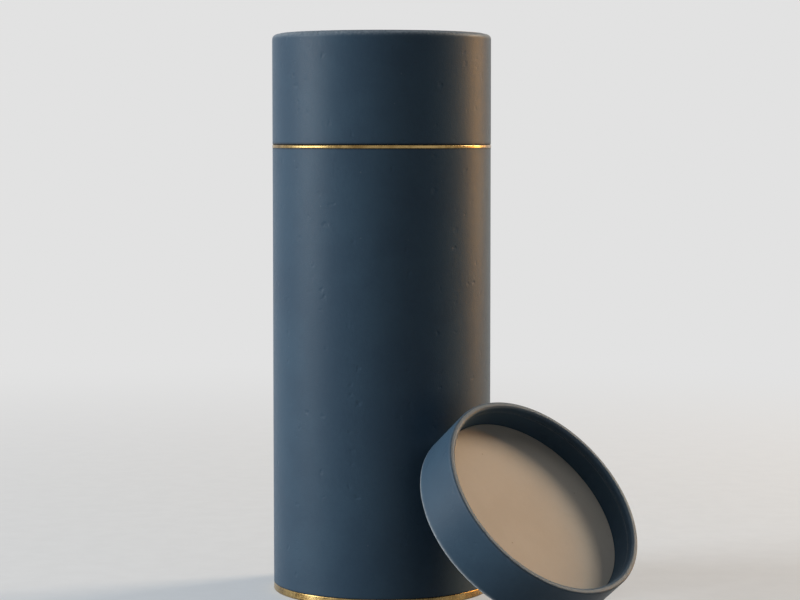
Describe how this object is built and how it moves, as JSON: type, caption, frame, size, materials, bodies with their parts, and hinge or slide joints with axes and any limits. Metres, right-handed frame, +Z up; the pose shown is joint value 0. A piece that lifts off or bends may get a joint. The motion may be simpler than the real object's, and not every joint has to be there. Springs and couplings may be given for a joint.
{
  "type": "cylindrical gift tube box",
  "caption": "Round rigid paper gift tube with a tall lift-off lid over an inner neck, gold rings at seam and foot, and a shallow loose cap of the same diameter leaning on it.",
  "frame": {"origin": "centre of the tube's foot, on the flat underside of the gold foot ring", "axes": "+Z up along the tube towards the lid, -Y towards the side from which the leaning cap is seen, +X to the right of that view"},
  "size_m": [0.1306, 0.1299, 0.2042],
  "materials": {
    "blue_paper": "soft-touch matt slate-blue paper with a fine grain",
    "beige_paper": "smooth uncoated beige paper",
    "gold_foil": "gold foil paper, finely scratched",
    "greyboard": "raw grey-brown spiral-wound board"
  },
  "bodies": {
    "tube": {"body_tube": "greyboard", "body_wrap": "blue_paper", "neck_tube": "greyboard", "neck_cover": "blue_paper", "inner_lining": "beige_paper", "base_board": "greyboard", "base_lining_disc": "beige_paper", "foot_paper": "blue_paper", "foot_ring": "gold_foil", "seam_ring": "gold_foil"},
    "lid": {"lid_tube": "greyboard", "lid_wrap": "blue_paper", "lid_top_board": "greyboard", "lid_top_paper": "blue_paper", "lid_lining": "blue_paper", "lid_plug": "greyboard", "lid_plug_face": "beige_paper"},
    "cap": {"cap_tube": "greyboard", "cap_wrap": "blue_paper", "cap_end_board": "greyboard", "cap_end_paper": "blue_paper", "cap_lining": "blue_paper", "cap_plug": "greyboard", "cap_plug_face": "beige_paper"}
  },
  "joints": [
    {"name": "lid_lift", "type": "slide", "parent": "tube", "child": "lid", "axis": [0, 0, 1], "range_m": [0, 0.1]},
    {"name": "cap_lift", "type": "slide", "parent": "tube", "child": "cap", "axis": [0.5464, -0.5369, 0.6428], "range_m": [0, 0.08]}
  ]
}
